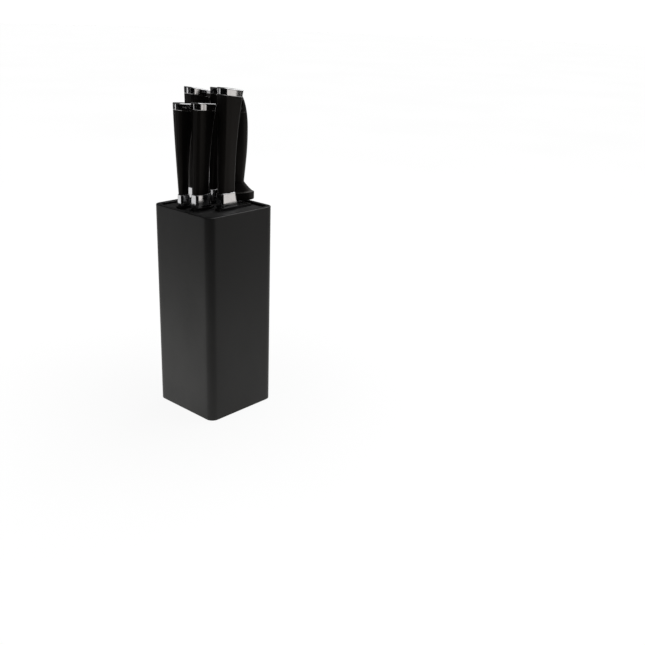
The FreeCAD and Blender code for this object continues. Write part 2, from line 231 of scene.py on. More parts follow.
def add_mesh(name, points, faces, material, body, nodes, sharp, marks=None):
    """Makes the mesh object, puts it on its body in place of its CAD nodes, and gives it its material."""
    mesh = bpy.data.meshes.new(name)
    mesh.from_pydata(points.reshape(-1, 3).tolist(), [], faces)
    mesh.validate()
    mesh.shade_smooth()
    mesh.set_sharp_from_angle(angle=math.radians(sharp))
    if marks is not None:
        set_marks(mesh, marks)
    mesh.materials.append(material)
    piece = bpy.data.objects.new(name, mesh)
    bpy.context.scene.collection.objects.link(piece)
    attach(piece, body)
    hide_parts(*nodes)


def add_loft(name, rings, material, body, nodes, sharp, marks=None):
    """A closed solid from an array of rings (stations, around, 3)."""
    faces = loft_faces(rings.shape[0], rings.shape[1])
    add_mesh(name, rings, faces, material, body, nodes, sharp, marks)


def superellipse(angle, power):
    """Unit rounded oblong: the point at each angle, pushed out until |x|^p + |y|^p = 1."""
    c = np.cos(angle)
    s = np.sin(angle)
    push = (np.abs(c) ** power + np.abs(s) ** power) ** (-1.0 / power)
    return c * push, s * push


def node_box(node):
    """Lowest and highest corner of a CAD node as two arrays."""
    low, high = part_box(node)
    return np.array(low), np.array(high)


# ---------------------------------------------------------------- finishes
class Finish:
    """A small builder for one node material; every pattern reads Object coordinates."""

    def __init__(self, name, colour, metallic, roughness):
        self.material = bpy.data.materials.new(name)
        self.material.use_nodes = True
        self.tree = self.material.node_tree
        self.shader = self.tree.nodes["Principled BSDF"]
        self.shader.inputs["Base Color"].default_value = (*colour, 1.0)
        self.shader.inputs["Metallic"].default_value = metallic
        self.shader.inputs["Roughness"].default_value = roughness
        self.coords = self.add("ShaderNodeTexCoord").outputs["Object"]
        self.normal = None

    def add(self, kind):
        return self.tree.nodes.new(kind)

    def link(self, source, target):
        self.tree.links.new(source, target)

    def noise(self, scale, detail=3.0, stretch=(1.0, 1.0, 1.0), rough=0.5):
        """Noise of about 1/scale metres, drawn out along an axis where stretch is small."""
        mapping = self.add("ShaderNodeMapping")
        mapping.inputs["Scale"].default_value = stretch
        self.link(self.coords, mapping.inputs["Vector"])
        noise = self.add("ShaderNodeTexNoise")
        noise.inputs["Scale"].default_value = scale
        noise.inputs["Detail"].default_value = detail
        noise.inputs["Roughness"].default_value = rough
        self.link(mapping.outputs["Vector"], noise.inputs["Vector"])
        return noise.outputs["Fac"]

    def spread(self, value, low, high, start=0.3, end=0.7):
        """Maps start..end of a value onto low..high."""
        spread = self.add("ShaderNodeMapRange")
        spread.inputs["From Min"].default_value = start
        spread.inputs["From Max"].default_value = end
        spread.inputs["To Min"].default_value = low
        spread.inputs["To Max"].default_value = high
        self.link(value, spread.inputs["Value"])
        return spread.outputs["Result"]

    def combine(self, operation, first, second):
        maths = self.add("ShaderNodeMath")
        maths.operation = operation
        for socket, value in zip(maths.inputs, (first, second)):
            if isinstance(value, (int, float)):
                socket.default_value = value
            else:
                self.link(value, socket)
        return maths.outputs["Value"]

    def vary_roughness(self, value):
        self.link(value, self.shader.inputs["Roughness"])

    def vary_colour(self, factor, dark, light):
        mix = self.add("ShaderNodeMix")
        mix.data_type = "RGBA"
        ends = {"A": dark, "B": light}
        for socket in mix.inputs:
            if socket.type == "RGBA":
                socket.default_value = (*ends[socket.name], 1.0)
        self.link(factor, mix.inputs["Factor"])
        output = [socket for socket in mix.outputs if socket.type == "RGBA"][0]
        self.link(output, self.shader.inputs["Base Color"])

    def bump(self, height, distance, strength):
        """Adds relief of the given depth in metres on top of earlier relief."""
        bump = self.add("ShaderNodeBump")
        bump.inputs["Strength"].default_value = strength
        bump.inputs["Distance"].default_value = distance
        self.link(height, bump.inputs["Height"])
        if self.normal is not None:
            self.link(self.normal, bump.inputs["Normal"])
        self.normal = bump.outputs["Normal"]
        self.link(self.normal, self.shader.inputs["Normal"])

    def marks(self):
        attribute = self.add("ShaderNodeAttribute")
        attribute.attribute_name = MARKS
        return attribute.outputs["Fac"]


def shade(colour, factor):
    return tuple(min(1.0, c * factor) for c in colour)


def satin_casing(settings):
    """Soft satin moulding: fine spark grain, faint handling marks, and a painted highlight that lightens the
    rim and foot edges and makes them a little glossier.
    """
    colour = tuple(settings.colour)
    finish = Finish("satin_casing", colour, 0.0, settings.roughness)
    grain = finish.noise(2600.0, 2.0)
    marks = finish.noise(22.0, 5.0, (1.0, 1.0, 0.5), 0.6)
    finish.bump(grain, 0.00002, 0.55)
    finish.bump(finish.noise(140.0, 2.0), 0.00002, 0.35)
    rough = finish.spread(marks, settings.roughness - 0.05, settings.roughness + 0.06)
    # painted highlight: the edge marks, broken up by noise, lighten the colour of the rim and foot edges up
    # to 2.1 times and lower their roughness
    painted_rim_light = finish.combine("MULTIPLY", finish.marks(), finish.spread(finish.noise(160.0, 4.0), 0.35, 1.0))
    finish.vary_roughness(finish.combine("SUBTRACT", rough, finish.combine("MULTIPLY", painted_rim_light, 0.1)))
    finish.vary_colour(finish.combine("MAXIMUM", painted_rim_light, finish.spread(marks, 0.0, 0.12)),
                       shade(colour, 0.94), shade(colour, 2.1))
    return finish.material


def moulded_black(name, colour, roughness):
    """Plain moulded plastic with a coarse spark grain and random lighter and darker patches."""
    finish = Finish(name, colour, 0.0, roughness)
    finish.bump(finish.noise(1500.0, 3.0), 0.00004, 0.6)
    patches = finish.noise(60.0, 4.0)
    finish.vary_roughness(finish.spread(patches, roughness - 0.08, roughness + 0.08))
    finish.vary_colour(finish.spread(patches, 0.0, 1.0), shade(colour, 0.8), shade(colour, 1.5))
    return finish.material


def black_grip(settings):
    """Polished-satin black grip: long faint drawing lines, tiny pits, a soft sheen."""
    colour = tuple(settings.colour)
    finish = Finish("black_grip", colour, 0.0, 0.4)
    finish.shader.inputs["Specular IOR Level"].default_value = 0.34
    finish.shader.inputs["Specular Tint"].default_value = (1.0, 0.93, 0.88, 1.0)
    lines = finish.noise(900.0, 3.0, (1.0, 1.0, 0.04))
    pits = finish.noise(3200.0, 2.0)
    finish.bump(lines, 0.000012, 0.5)
    finish.bump(pits, 0.000012, 0.45)
    smudge = finish.noise(34.0, 5.0, (1.0, 1.0, 0.4), 0.62)
    finish.vary_roughness(finish.spread(smudge, 0.36, 0.46))
    finish.vary_colour(finish.spread(smudge, 0.0, 1.0), shade(colour, 0.85), shade(colour, 1.3))
    return finish.material


def polished_steel(settings):
    """Mirror-polished steel with hairline scratches both ways and faint finger marks."""
    colour = tuple(settings.polish)
    finish = Finish("polished_steel", colour, 1.0, 0.09)
    upright = finish.noise(1400.0, 4.0, (1.0, 1.0, 0.03))
    level = finish.noise(900.0, 4.0, (0.06, 0.06, 1.0))
    finish.bump(upright, 0.000004, 0.5)
    finish.bump(level, 0.000004, 0.35)
    smudge = finish.noise(90.0, 5.0, rough=0.65)
    finish.vary_roughness(finish.spread(smudge, 0.09, 0.2))
    finish.vary_colour(finish.spread(smudge, 0.0, 1.0), shade(colour, 0.94), shade(colour, 1.04))
    return finish.material


def blade_steel(settings):
    """Satin-ground blade: fine lines across the blade, brighter and coarser where it is ground."""
    colour = tuple(settings.colour)
    finish = Finish("blade_steel", colour, 1.0, 0.28)
    lines = finish.noise(1100.0, 4.0, (0.03, 1.0, 1.0), 0.6)
    coarse = finish.noise(420.0, 3.0, (0.05, 1.0, 1.0), 0.6)
    ground = finish.marks()
    finish.bump(lines, 0.000008, 0.6)
    finish.bump(coarse, 0.000008, 0.35)
    smudge = finish.noise(26.0, 4.0, rough=0.6)
    base = finish.spread(smudge, 0.24, 0.34)
    finish.vary_roughness(finish.combine("ADD", base, finish.combine("MULTIPLY", ground, 0.06)))
    finish.vary_colour(finish.combine("MAXIMUM", finish.spread(lines, 0.0, 0.5), ground),
                       shade(colour, 0.9), shade(colour, 1.12))
    return finish.material


def rod_steel(settings):
    """Hard ridged rod: darker steel with fine lines along it and rubbed streaks."""
    colour = shade(tuple(settings.colour), 0.78)
    finish = Finish("rod_steel", colour, 1.0, 0.32)
    finish.bump(finish.noise(2200.0, 3.0, (1.0, 1.0, 0.02)), 0.00001, 0.6)
    rub = finish.noise(70.0, 4.0, (1.0, 1.0, 0.25), 0.6)
    finish.vary_roughness(finish.spread(rub, 0.26, 0.4))
    finish.vary_colour(finish.spread(rub, 0.0, 1.0), shade(colour, 0.85), shade(colour, 1.15))
    return finish.material


def pad_rubber():
    """Matt rubber with a fine pebbled skin."""
    finish = Finish("pad_rubber", (0.03, 0.03, 0.03), 0.0, 0.8)
    finish.bump(finish.noise(1800.0, 2.0), 0.00005, 0.7)
    dust = finish.noise(45.0, 4.0)
    finish.vary_roughness(finish.spread(dust, 0.74, 0.9))
    finish.vary_colour(finish.spread(dust, 0.0, 1.0), (0.022, 0.022, 0.022), (0.05, 0.05, 0.048))
    return finish.material


def zinc_plate():
    """Zinc-plated screw steel with cloudy passivation."""
    finish = Finish("zinc_plate", (0.55, 0.55, 0.56), 1.0, 0.35)
    cloud = finish.noise(400.0, 4.0)
    finish.bump(finish.noise(1800.0, 2.0), 0.00001, 0.5)
    finish.vary_roughness(finish.spread(cloud, 0.28, 0.45))
    finish.vary_colour(finish.spread(cloud, 0.0, 1.0), (0.48, 0.48, 0.5), (0.62, 0.62, 0.6))
    return finish.material


# ---------------------------------------------------------------- surfaces
def rounded_square(side, radius, per_corner=14, per_side=6):
    """Points and outward directions round a square with round corners, anticlockwise.

    Each corner is a quarter circle about (side / 2 - radius), and each straight part adds points
    between two corners. Moving a point inwards by d along its direction keeps the walls even."""
    turn = np.linspace(0.0, math.pi / 2, per_corner)
    points = []
    directions = []
    for quarter in range(4):
        angle = turn + quarter * math.pi / 2
        outward = np.stack([np.cos(angle), np.sin(angle)], -1)
        towards = (quarter + 0.5) * math.pi / 2
        corner = np.sign([math.cos(towards), math.sin(towards)]) * (side / 2 - radius)
        arc = corner + radius * outward
        following = np.array([[0.0, -1.0], [1.0, 0.0]]) @ corner
        start = following + radius * outward[-1]
        share = np.linspace(0.0, 1.0, per_side + 2)[1:-1, None]
        share = 0.5 - 0.5 * np.cos(share * math.pi)
        points += [arc, arc[-1] + (start - arc[-1]) * share]
        directions += [outward, np.repeat(outward[-1:], per_side, 0)]
    return np.concatenate(points), np.concatenate(directions)


def casing_surface(settings):
    """The casing as one closed loop of wall profile carried round a rounded square.

    The profile goes up the outside, over the rim with two round edges, and down the inside; each
    profile point is (distance in from the outer face, height)."""
    low, high = node_box("casing")
    r = settings.rim_round
    w = settings.wall
    z0, z1 = low[2], high[2]
    bend = np.linspace(0.0, math.pi / 2, 7)
    heights = np.linspace(z0 + 3 * r, z1 - 4 * r, 9)
    outer = np.stack([np.zeros(9), heights], -1)
    lower = np.stack([0.5 * r * (1 - np.sin(bend)), z0 + 0.5 * r * (1 - np.cos(bend))], -1)
    over = np.stack([r * (1 - np.cos(bend)), z1 - r * (1 - np.sin(bend))], -1)
    under = np.stack([w - r * (1 - np.cos(bend[::-1])), z1 - r * (1 - np.sin(bend[::-1]))], -1)
    flat = np.array([[1.4 * r, z1], [w / 2, z1], [w - 1.4 * r, z1]])
    support = np.array([[0.0, z1 - 1.6 * r]])
    inner_top = np.array([[w, z1 - 1.6 * r]])
    inner = np.stack([np.full(9, w), heights[::-1]], -1)
    bottom = np.array([[w, z0], [w - 1.4 * r, z0], [w / 2, z0], [1.4 * r, z0]])
    profile = np.concatenate([lower, outer, support, over, flat, under, inner_top, inner, bottom])
    # strength of the painted highlight along the profile: strongest over the rim's outer round, less on its
    # inner round, faint at the foot and on the flat top
    painted_edge_light = np.concatenate([
        np.full(len(lower), 0.3), np.zeros(len(outer)), [0.0], np.full(len(over), 1.0), [0.35, 0.2, 0.35],
        np.full(len(under), 0.8), [0.0], np.zeros(len(inner)), np.zeros(len(bottom))])
    side = high[0] - low[0]
    ring, outward = rounded_square(side, settings.corner_radius)
    xy = ring[None] - outward[None] * profile[:, 0, None, None]
    z = np.broadcast_to(profile[:, 1, None, None], xy.shape[:2] + (1,))
    points = np.concatenate([xy, z], -1)
    rows, around = points.shape[:2]
    i = np.arange(rows)[:, None]
    j = np.arange(around)[None, :]
    k = (j + 1) % around
    n = (i + 1) % rows
    faces = np.stack([i * around + j, i * around + k, n * around + k, n * around + j], -1).reshape(-1, 4)
    marks = np.repeat(painted_edge_light[:, None], around, 1)
    return points, faces.tolist(), marks


def oblong_parts(per_corner=7, per_side=13):
    """Parts from which a crowned oblong with round corners is put together, point by point.

    x = kx * (half width - corner - crown) + nx * corner + hx * crown, and y in the same way. Along a
    side one k runs from -1 to 1 and the other side's h is (1 - k^2)^2; round a corner n turns."""
    k = np.linspace(-1.0, 1.0, per_side)
    side = np.stack([np.ones(per_side), k, np.ones(per_side), 0 * k, (1 - k * k) ** 2, 0 * k])
    turn = np.linspace(0.0, math.pi / 2, per_corner + 2)[1:-1]
    one = np.ones(per_corner)
    corner = np.stack([one, one, np.cos(turn), np.sin(turn), 0 * one, 0 * one])
    quarter = np.concatenate([side, corner], 1)
    parts = [quarter]
    for _ in range(3):
        kx, ky, nx, ny, hx, hy = parts[-1]
        parts.append(np.stack([-ky, kx, -ny, nx, -hy, hx]))
    return np.concatenate(parts, 1)


class KnifeHandle:
    """The outline of one handle, from the frame and its own law."""

    def __init__(self, name, settings):
        law = HANDLES[name]
        low, high = node_box(name + "_bolster")
        cap_high = node_box(name + "_end_cap")[1]
        self.back_x = low[0]
        self.bolster = high[0] - low[0], high[1] - low[1]
        self.shoulder, self.start = low[2], high[2]
        self.row_y = (low[1] + high[1]) / 2
        self.neck = tuple(v * MM for v in law["neck"])
        self.butt = tuple(v * MM for v in law["butt"])
        self.neck_back = self.back_x + BACK_STEP
        self.butt_back = self.back_x - law["flare"] * MM
        self.tilt = math.tan(math.radians(law["slant"]))
        self.butt_x = self.butt_back + self.butt[0] / 2
        self.butt_z = cap_high[2] - (self.butt_x - self.butt_back) * self.tilt
        self.seam_z = self.butt_z - settings.cap_height
        self.corner = settings.corner
        self.crown = settings.crown

    def section(self, z):
        """Middle, half width and half thickness at height z.

        The back leaves the bolster quickly (quarter sine), the belly slowly (a power above 2), and
        the thickness grows evenly."""
        f = np.maximum((z - self.start) / (self.butt_z - self.start), 0.0)
        back = self.neck_back + (self.butt_back - self.neck_back) * np.sin(np.minimum(f, 1.0) * math.pi / 2)
        first = self.neck_back + self.neck[0]
        last = self.butt_back + self.butt[0]
        belly = first + (last - first) * f ** BELLY_POWER
        thick = self.neck[1] + (self.butt[1] - self.neck[1]) * np.minimum(f, 1.0)
        return (back + belly) / 2, (belly - back) / 2, thick / 2

    def rings(self, low, high, share, inset):
        """Rings between two planes that give a height for each x.

        share runs from 0 at the low plane to 1 at the high one, and inset pulls a ring inwards.
        Height and x depend on each other, so the pair is settled by a few rounds."""
        kx, ky, nx, ny, hx, hy = oblong_parts()[:, None]
        share = np.asarray(share)[:, None]
        inset = np.asarray(inset)[:, None]
        x = np.full((share.shape[0], kx.shape[1]), self.butt_x)
        rest = self.corner + self.crown
        for _ in range(6):
            z = low(x) + share * (high(x) - low(x))
            middle, wide, thick = self.section(z)
            x = middle + kx * (wide - rest) + nx * (self.corner - inset) + hx * self.crown
        y = self.row_y + ky * (thick - rest) + ny * (self.corner - inset) + hy * self.crown
        return np.stack([x, y, z], -1)

    def level(self, z):
        return lambda x: z + 0 * x

    def tilted(self, z):
        return lambda x: z - self.tilt * (x - self.butt_x)


def grip_rings(handle, settings):
    """Grip from the bolster to the seam under the end cap, with a fine chamfer at both ends."""
    height = handle.seam_z - handle.start
    edge = settings.seam / height
    ends = np.array([0.0, edge, 3 * edge])
    share = np.concatenate([ends, np.linspace(0.03, 0.97, 44), 1 - ends[::-1]])
    inset = np.zeros(len(share))
    inset[[0, -1]] = settings.seam
    return handle.rings(handle.level(handle.start), handle.tilted(handle.seam_z), share, inset)


def cap_rings(handle, settings):
    """End cap from the seam to the butt: chamfered foot, round outer edge, slightly domed top."""
    height = handle.butt_z - handle.seam_z
    r = settings.cap_round
    bend = np.linspace(0.0, math.pi / 2, 7)
    rise = (height - CAP_DOME - r + r * np.sin(bend)) / height
    foot = settings.seam / height
    share = np.concatenate([[0.0, foot, 3 * foot], np.linspace(0.12, rise[0] - 0.05, 5), rise])
    inset = np.concatenate([[settings.seam], np.zeros(7), r * (1 - np.cos(bend))])
    sides = handle.rings(handle.tilted(handle.seam_z), handle.tilted(handle.butt_z), share, inset)
    rim = sides[-1]
    centre = rim.mean(0)
    scale = np.array([0.96, 0.88, 0.74, 0.55, 0.32, 0.12, 0.02])[:, None, None]
    top = centre + (rim - centre)[None] * scale
    top[..., 2] += CAP_DOME * (1 - scale[..., 0] ** 2)
    return np.concatenate([sides, top])


def polygon_ring(corners, round_off, around_corner=3):
    """A polygon with each corner replaced by a short curve and a support point on each side.

    On every edge a point stands round_off from the corner and a second one at 2.5 times that, so
    flat faces stay flat when smoothly shaded."""
    before = np.roll(corners, 1, 0) - corners
    after = np.roll(corners, -1, 0) - corners
    before = before / np.linalg.norm(before, axis=1, keepdims=True)
    after = after / np.linalg.norm(after, axis=1, keepdims=True)
    t = np.linspace(0.0, 1.0, around_corner)[None, :, None]
    start = (corners + before * round_off)[:, None]
    end = (corners + after * round_off)[:, None]
    curve = (1 - t) ** 2 * start + 2 * t * (1 - t) * corners[:, None] + t ** 2 * end
    far_before = (corners + before * 2.5 * round_off)[:, None]
    far_after = (corners + after * 2.5 * round_off)[:, None]
    return np.concatenate([far_before, curve, far_after], 1).reshape(-1, 2)


def bolster_rings(handle, settings):
    """Tapered bolster with eight sides: two broad faces, two narrow ones and four slanted corners."""
    z0, z1 = handle.shoulder, handle.start
    share = np.array([0.0, 0.03, 0.08, 0.3, 0.5, 0.7, 0.92, 0.97, 1.0])
    inset = np.zeros(len(share))
    inset[[0, -1]] = BOLSTER_EDGE
    rings = []
    for part, pull in zip(share, inset):
        a = (handle.bolster[0] + (handle.neck[0] - handle.bolster[0]) * part) / 2 - pull
        b = (handle.bolster[1] + (handle.neck[1] - handle.bolster[1]) * part) / 2 - pull
        centre_x = handle.back_x + BACK_STEP * part + a + pull
        cut_x = settings.bevel * 1.15
        cut_y = settings.bevel * 0.85
        quarter = np.array([[a, b - cut_y], [a - cut_x, b]])
        corners = np.concatenate([quarter, quarter[::-1] * [-1, 1], -quarter, quarter[::-1] * [1, -1]])
        ring = polygon_ring(corners, BOLSTER_ROUND)
        z = np.full((len(ring), 1), z0 + (z1 - z0) * part)
        rings.append(np.concatenate([ring + [centre_x, handle.row_y], z], -1))
    return np.stack(rings)


def blade_surface(name, handle, settings):
    """Blade as sections stacked from the point up to the bolster.

    Width law: width * (1 - s^p)^q, s from 0 at the bolster to 1 at the point. Each section is
    nearly flat from the back to the grinding line and then tapers to the edge. The bread knife's
    edge is set back by depth * |sin| of the distance along it."""
    low, high = node_box(name + "_blade")
    power, root = BLADE_FORMS[name]
    length = handle.shoulder - low[2]
    back_x = low[0]
    width = high[0] - back_x
    count = settings.stations
    if name == "bread":
        count = 2 * settings.stations
    s = np.linspace(1.0, 0.0, count) if name == "bread" else np.sin(np.linspace(math.pi / 2, 0.0, count))
    tip = 1 - np.geomspace(0.0004, 0.01, 10)
    s = np.unique(np.concatenate([s[s < 0.99], tip]))[::-1]
    drop = s * length
    full = width * (1 - s ** power) ** root
    full = np.maximum(full, TIP_WIDTH)
    neck = handle.bolster[0] - 2 * abs(back_x - handle.back_x)
    ease = np.sin(np.minimum(drop / settings.heel, 1.0) * math.pi / 2)
    edge = np.where(neck < width, neck + (full - neck) * ease, full)
    edge = np.minimum(edge, np.maximum(full, neck))
    line = edge * (1 - settings.ground)
    if name == "bread":
        inside = (drop > SCALLOP_START) & (drop < length - SCALLOP_END)
        wave = np.abs(np.sin((drop - SCALLOP_START) / settings.scallop_pitch * math.pi))
        edge = edge - np.where(inside, settings.scallop_depth * wave, 0.0)
    thick = BLADE_THICKNESS[name] * MM * (1 - TIP_TAPER * s) / 2
    across = np.array([0.0, 0.12, 0.4, 0.75, 1.0])
    x_flat = BACK_ROUND + across[None] * (line[:, None] - BACK_ROUND)
    y_flat = thick[:, None] * (1 - (1 - GRIND_THICKNESS) * across[None])
    x_edge = line[:, None] + np.array([0.06, 0.5, 1.0])[None] * (edge - line)[:, None]
    y_edge = thick[:, None] * GRIND_THICKNESS * (1 - np.array([0.06, 0.5, 0.97])[None])
    x_half = np.concatenate([np.zeros((len(s), 1)), x_flat, x_edge], 1)
    y_half = np.concatenate([thick[:, None] * 0.8, y_flat, y_edge], 1)
    x = back_x + np.concatenate([x_half, x_half[:, ::-1]], 1)
    y = handle.row_y + np.concatenate([-y_half, y_half[:, ::-1]], 1)
    z = np.broadcast_to((handle.shoulder - drop)[:, None], x.shape)
    zone = np.array([0, 0, 0, 0, 0, 0, 1, 1, 1.0])
    marks = np.broadcast_to(np.concatenate([zone, zone[::-1]])[None], x.shape)
    return np.stack([x, y, z], -1), marks


class SharpeningSteel:
    """Place and law of the steel, from the frame."""

    def __init__(self):
        rod_low, rod_high = node_box("steel_rod")
        self.rod_low = rod_low
        self.x = (rod_low[0] + rod_high[0]) / 2
        self.y = (rod_low[1] + rod_high[1]) / 2
        self.rod_radius = (rod_high[0] - rod_low[0]) / 2
        guard_low, guard_high = node_box("steel_guard")
        self.guard_bottom = guard_low[2]
        self.cone_top = guard_high[2]
        cap_low, cap_high = node_box("steel_end_cap")
        self.split = cap_low[2]
        self.top = cap_high[2]

    def turned(self, u, v, z):
        """Points from their distances along the oval's wide and narrow sides and their heights."""
        c, s = math.cos(STEEL_TURN), math.sin(STEEL_TURN)
        return np.stack([self.x + u * c - v * s, self.y + u * s + v * c, z + 0 * u], -1)

    def ring(self, half_long, half_short, z, angle, power):
        """Oval rings about the steel's axis, turned to the guard's direction."""
        ux, uy = superellipse(angle, power)
        return self.turned(half_long * ux, half_short * uy, z)


def steel_half(z, steel):
    """Half the grip's wide side: eased swell from the neck to the bulge, then an elliptical dome."""
    f = np.clip((z - steel.cone_top) / (BULGE_Z - steel.cone_top), 0.0, 1.0)
    swell = NECK + (BULGE - NECK) * (1 - (1 - f ** 1.3) ** 2.4)
    g = np.clip((z - BULGE_Z) / (steel.top - BULGE_Z), 0.0, 1.0)
    return swell * np.sqrt(np.maximum(1 - g ** 2, 0.0))


def steel_grip_rings(steel, seam):
    """Grip from the cone to the seam of the end cap."""
    z = np.concatenate([[steel.cone_top, steel.cone_top + seam, steel.cone_top + 3 * seam],
                        np.linspace(steel.cone_top + 2 * MM, steel.split - 2 * MM, 40),
                        [steel.split - 3 * seam, steel.split - seam, steel.split]])
    half = steel_half(z, steel)
    half[[0, -1]] -= seam
    angle = np.linspace(0.0, 2 * math.pi, 96, endpoint=False)[None]
    return steel.ring(half[:, None], half[:, None] * STEEL_OVAL, z[:, None], angle, GRIP_POWER)


def steel_cap_rings(steel, seam):
    """Domed end with a shallow oval recess pressed into both broad sides."""
    turn = np.linspace(0.0, 1.0, 40)
    low_turn = math.asin((steel.split - BULGE_Z) / (steel.top - BULGE_Z))
    alpha = low_turn + (math.pi / 2 - 0.02 - low_turn) * turn
    z = BULGE_Z + (steel.top - BULGE_Z) * np.sin(alpha)
    z = np.concatenate([[steel.split, steel.split + seam], z[1:]])
    half = steel_half(z, steel)
    half[0] -= seam
    angle = np.linspace(0.0, 2 * math.pi, 96, endpoint=False)[None]
    ux, uy = superellipse(angle, GRIP_POWER)
    u = half[:, None] * ux
    above = z[:, None] - steel.split - PRESS_RISE
    oval = (u / PRESS_HALF[0]) ** 2 + (above / PRESS_HALF[1]) ** 2
    press = np.clip((1.25 - oval) / 0.5, 0.0, 1.0)
    press = press * press * (3 - 2 * press) * PRESS_DEPTH
    v = half[:, None] * STEEL_OVAL * uy
    v = np.sign(v) * np.maximum(np.abs(v) - press, 0.0)
    return steel.turned(u, v, z[:, None])


def guard_rings(steel):
    """Oval guard: rounded lower edge, upright rim, rounded upper edge, hollow cone up to the neck."""
    r = GUARD_ROUND
    bend = np.linspace(0.0, math.pi / 2, 7)
    z0 = steel.guard_bottom
    rim_top = z0 + GUARD_EDGE
    cone = np.linspace(0.0, 1.0, 14)
    pull = np.concatenate([[6 * r, 3 * r], r * (1 - np.sin(bend)), [0.0, 0.0], 0.8 * r * (1 - np.cos(bend))])
    z = np.concatenate([[z0, z0], z0 + r * (1 - np.cos(bend)), [z0 + 2 * r, rim_top - 1.4 * r],
                        rim_top - 0.8 * r * (1 - np.sin(bend))])
    long_side = GUARD_LONG - np.minimum(pull, GUARD_LONG - NECK)
    short_side = GUARD_SHORT - np.minimum(pull, GUARD_SHORT - NECK * STEEL_OVAL)
    hollow = cone[1:] ** 0.8
    long_cone = long_side[-1] + (NECK - long_side[-1]) * hollow
    short_cone = short_side[-1] + (NECK * STEEL_OVAL - short_side[-1]) * hollow
    z_cone = rim_top + (steel.cone_top - rim_top) * cone[1:]
    long_all = np.concatenate([long_side, long_cone])
    short_all = np.concatenate([short_side, short_cone])
    z_all = np.concatenate([z, z_cone])
    angle = np.linspace(0.0, 2 * math.pi, 120, endpoint=False)[None]
    return steel.ring(long_all[:, None], short_all[:, None], z_all[:, None], angle, 2.0)


def rod_rings(steel, settings):
    """Rod with fine ridges: radius less a small cosine wave round it, and a ground point."""
    ridges = settings.rod_ridges
    angle = np.linspace(0.0, 2 * math.pi, ridges * 4, endpoint=False)[None]
    tip = steel.rod_low[2]
    z = np.concatenate([tip + ROD_POINT * np.array([0.0, 0.02, 0.06, 0.2, 0.5, 0.8, 0.97, 1.0, 1.05]),
                        np.linspace(tip + 1.2 * ROD_POINT, steel.guard_bottom, 24)])
    climb = np.clip((z - tip) / ROD_POINT, 0.0, 1.0)
    radius = steel.rod_radius * np.sin(np.maximum(climb, 0.012) * math.pi / 2) ** 0.9
    groove = RIDGE_DEPTH * (0.5 - 0.5 * np.cos(ridges * angle)) * (climb[:, None] > 0.99)
    r = radius[:, None] - groove
    x = steel.x + r * np.cos(angle)
    y = steel.y + r * np.sin(angle)
    return np.stack([x, y, z[:, None] + 0 * r], -1)


# ---------------------------------------------------------------- operators
class KNIFEBLOCK_OT_casing(Operator):
    """Builds the block's satin casing"""
    bl_idname = "knifeblock.casing"
    bl_label = "Casing"

    def execute(self, context):
        settings = context.scene.block_settings
        points, faces, marks = casing_surface(settings)
        add_mesh("block_casing", points, faces, satin_casing(settings), "block", ["casing"],
                 60.0, marks)
        return {"FINISHED"}


class KNIFEBLOCK_OT_insides(Operator):
    """Gives the slotted plate, the guide, the posts, the base, the screws and the pad their finishes"""
    bl_idname = "knifeblock.insides"
    bl_label = "Insides and base"

    def execute(self, context):
        plastic = moulded_black("slot_plate_plastic", (0.014, 0.014, 0.014), 0.55)
        inner = moulded_black("inner_plastic", (0.03, 0.03, 0.032), 0.6)
        finishes = {"top_plate": plastic, "lower_guide": inner, "support_posts": inner, "base_plate": inner,
                    "base_screws": zinc_plate(), "base_pad": pad_rubber()}
        for node, material in finishes.items():
            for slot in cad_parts[node].material_slots:
                slot.material = material
        return {"FINISHED"}


class KNIFEBLOCK_OT_blades(Operator):
    """Builds the five blades"""
    bl_idname = "knifeblock.blades"
    bl_label = "Blades"

    def execute(self, context):
        settings = context.scene.blade_settings
        steel = blade_steel(settings)
        for name in HANDLES:
            handle = KnifeHandle(name, context.scene.handle_settings)
            rings, marks = blade_surface(name, handle, settings)
            add_loft(name + "_knife_blade", rings, steel, name + "_knife", [name + "_blade"],
                     22.0, marks)
        return {"FINISHED"}


class KNIFEBLOCK_OT_bolsters(Operator):
    """Builds the five polished bolsters"""
    bl_idname = "knifeblock.bolsters"
    bl_label = "Bolsters"

    def execute(self, context):
        settings = context.scene.handle_settings
        polish = polished_steel(settings)
        for name in HANDLES:
            handle = KnifeHandle(name, settings)
            add_loft(name + "_knife_bolster", bolster_rings(handle, settings), polish, name + "_knife",
                     [name + "_bolster"], 80.0)
        return {"FINISHED"}


class KNIFEBLOCK_OT_grips(Operator):
    """Builds the five black grips"""
    bl_idname = "knifeblock.grips"
    bl_label = "Grips"

    def execute(self, context):
        settings = context.scene.handle_settings
        black = black_grip(settings)
        for name in HANDLES:
            handle = KnifeHandle(name, settings)
            add_loft(name + "_knife_grip", grip_rings(handle, settings), black, name + "_knife",
                     [name + "_grip"], 40.0)
        return {"FINISHED"}


class KNIFEBLOCK_OT_end_caps(Operator):
    """Builds the five polished end caps"""
    bl_idname = "knifeblock.end_caps"
    bl_label = "End caps"

    def execute(self, context):
        settings = context.scene.handle_settings
        polish = bpy.data.materials.get("polished_steel") or polished_steel(settings)
        for name in HANDLES:
            handle = KnifeHandle(name, settings)
            add_loft(name + "_knife_end_cap", cap_rings(handle, settings), polish, name + "_knife",
                     [name + "_end_cap"], 80.0)
        return {"FINISHED"}


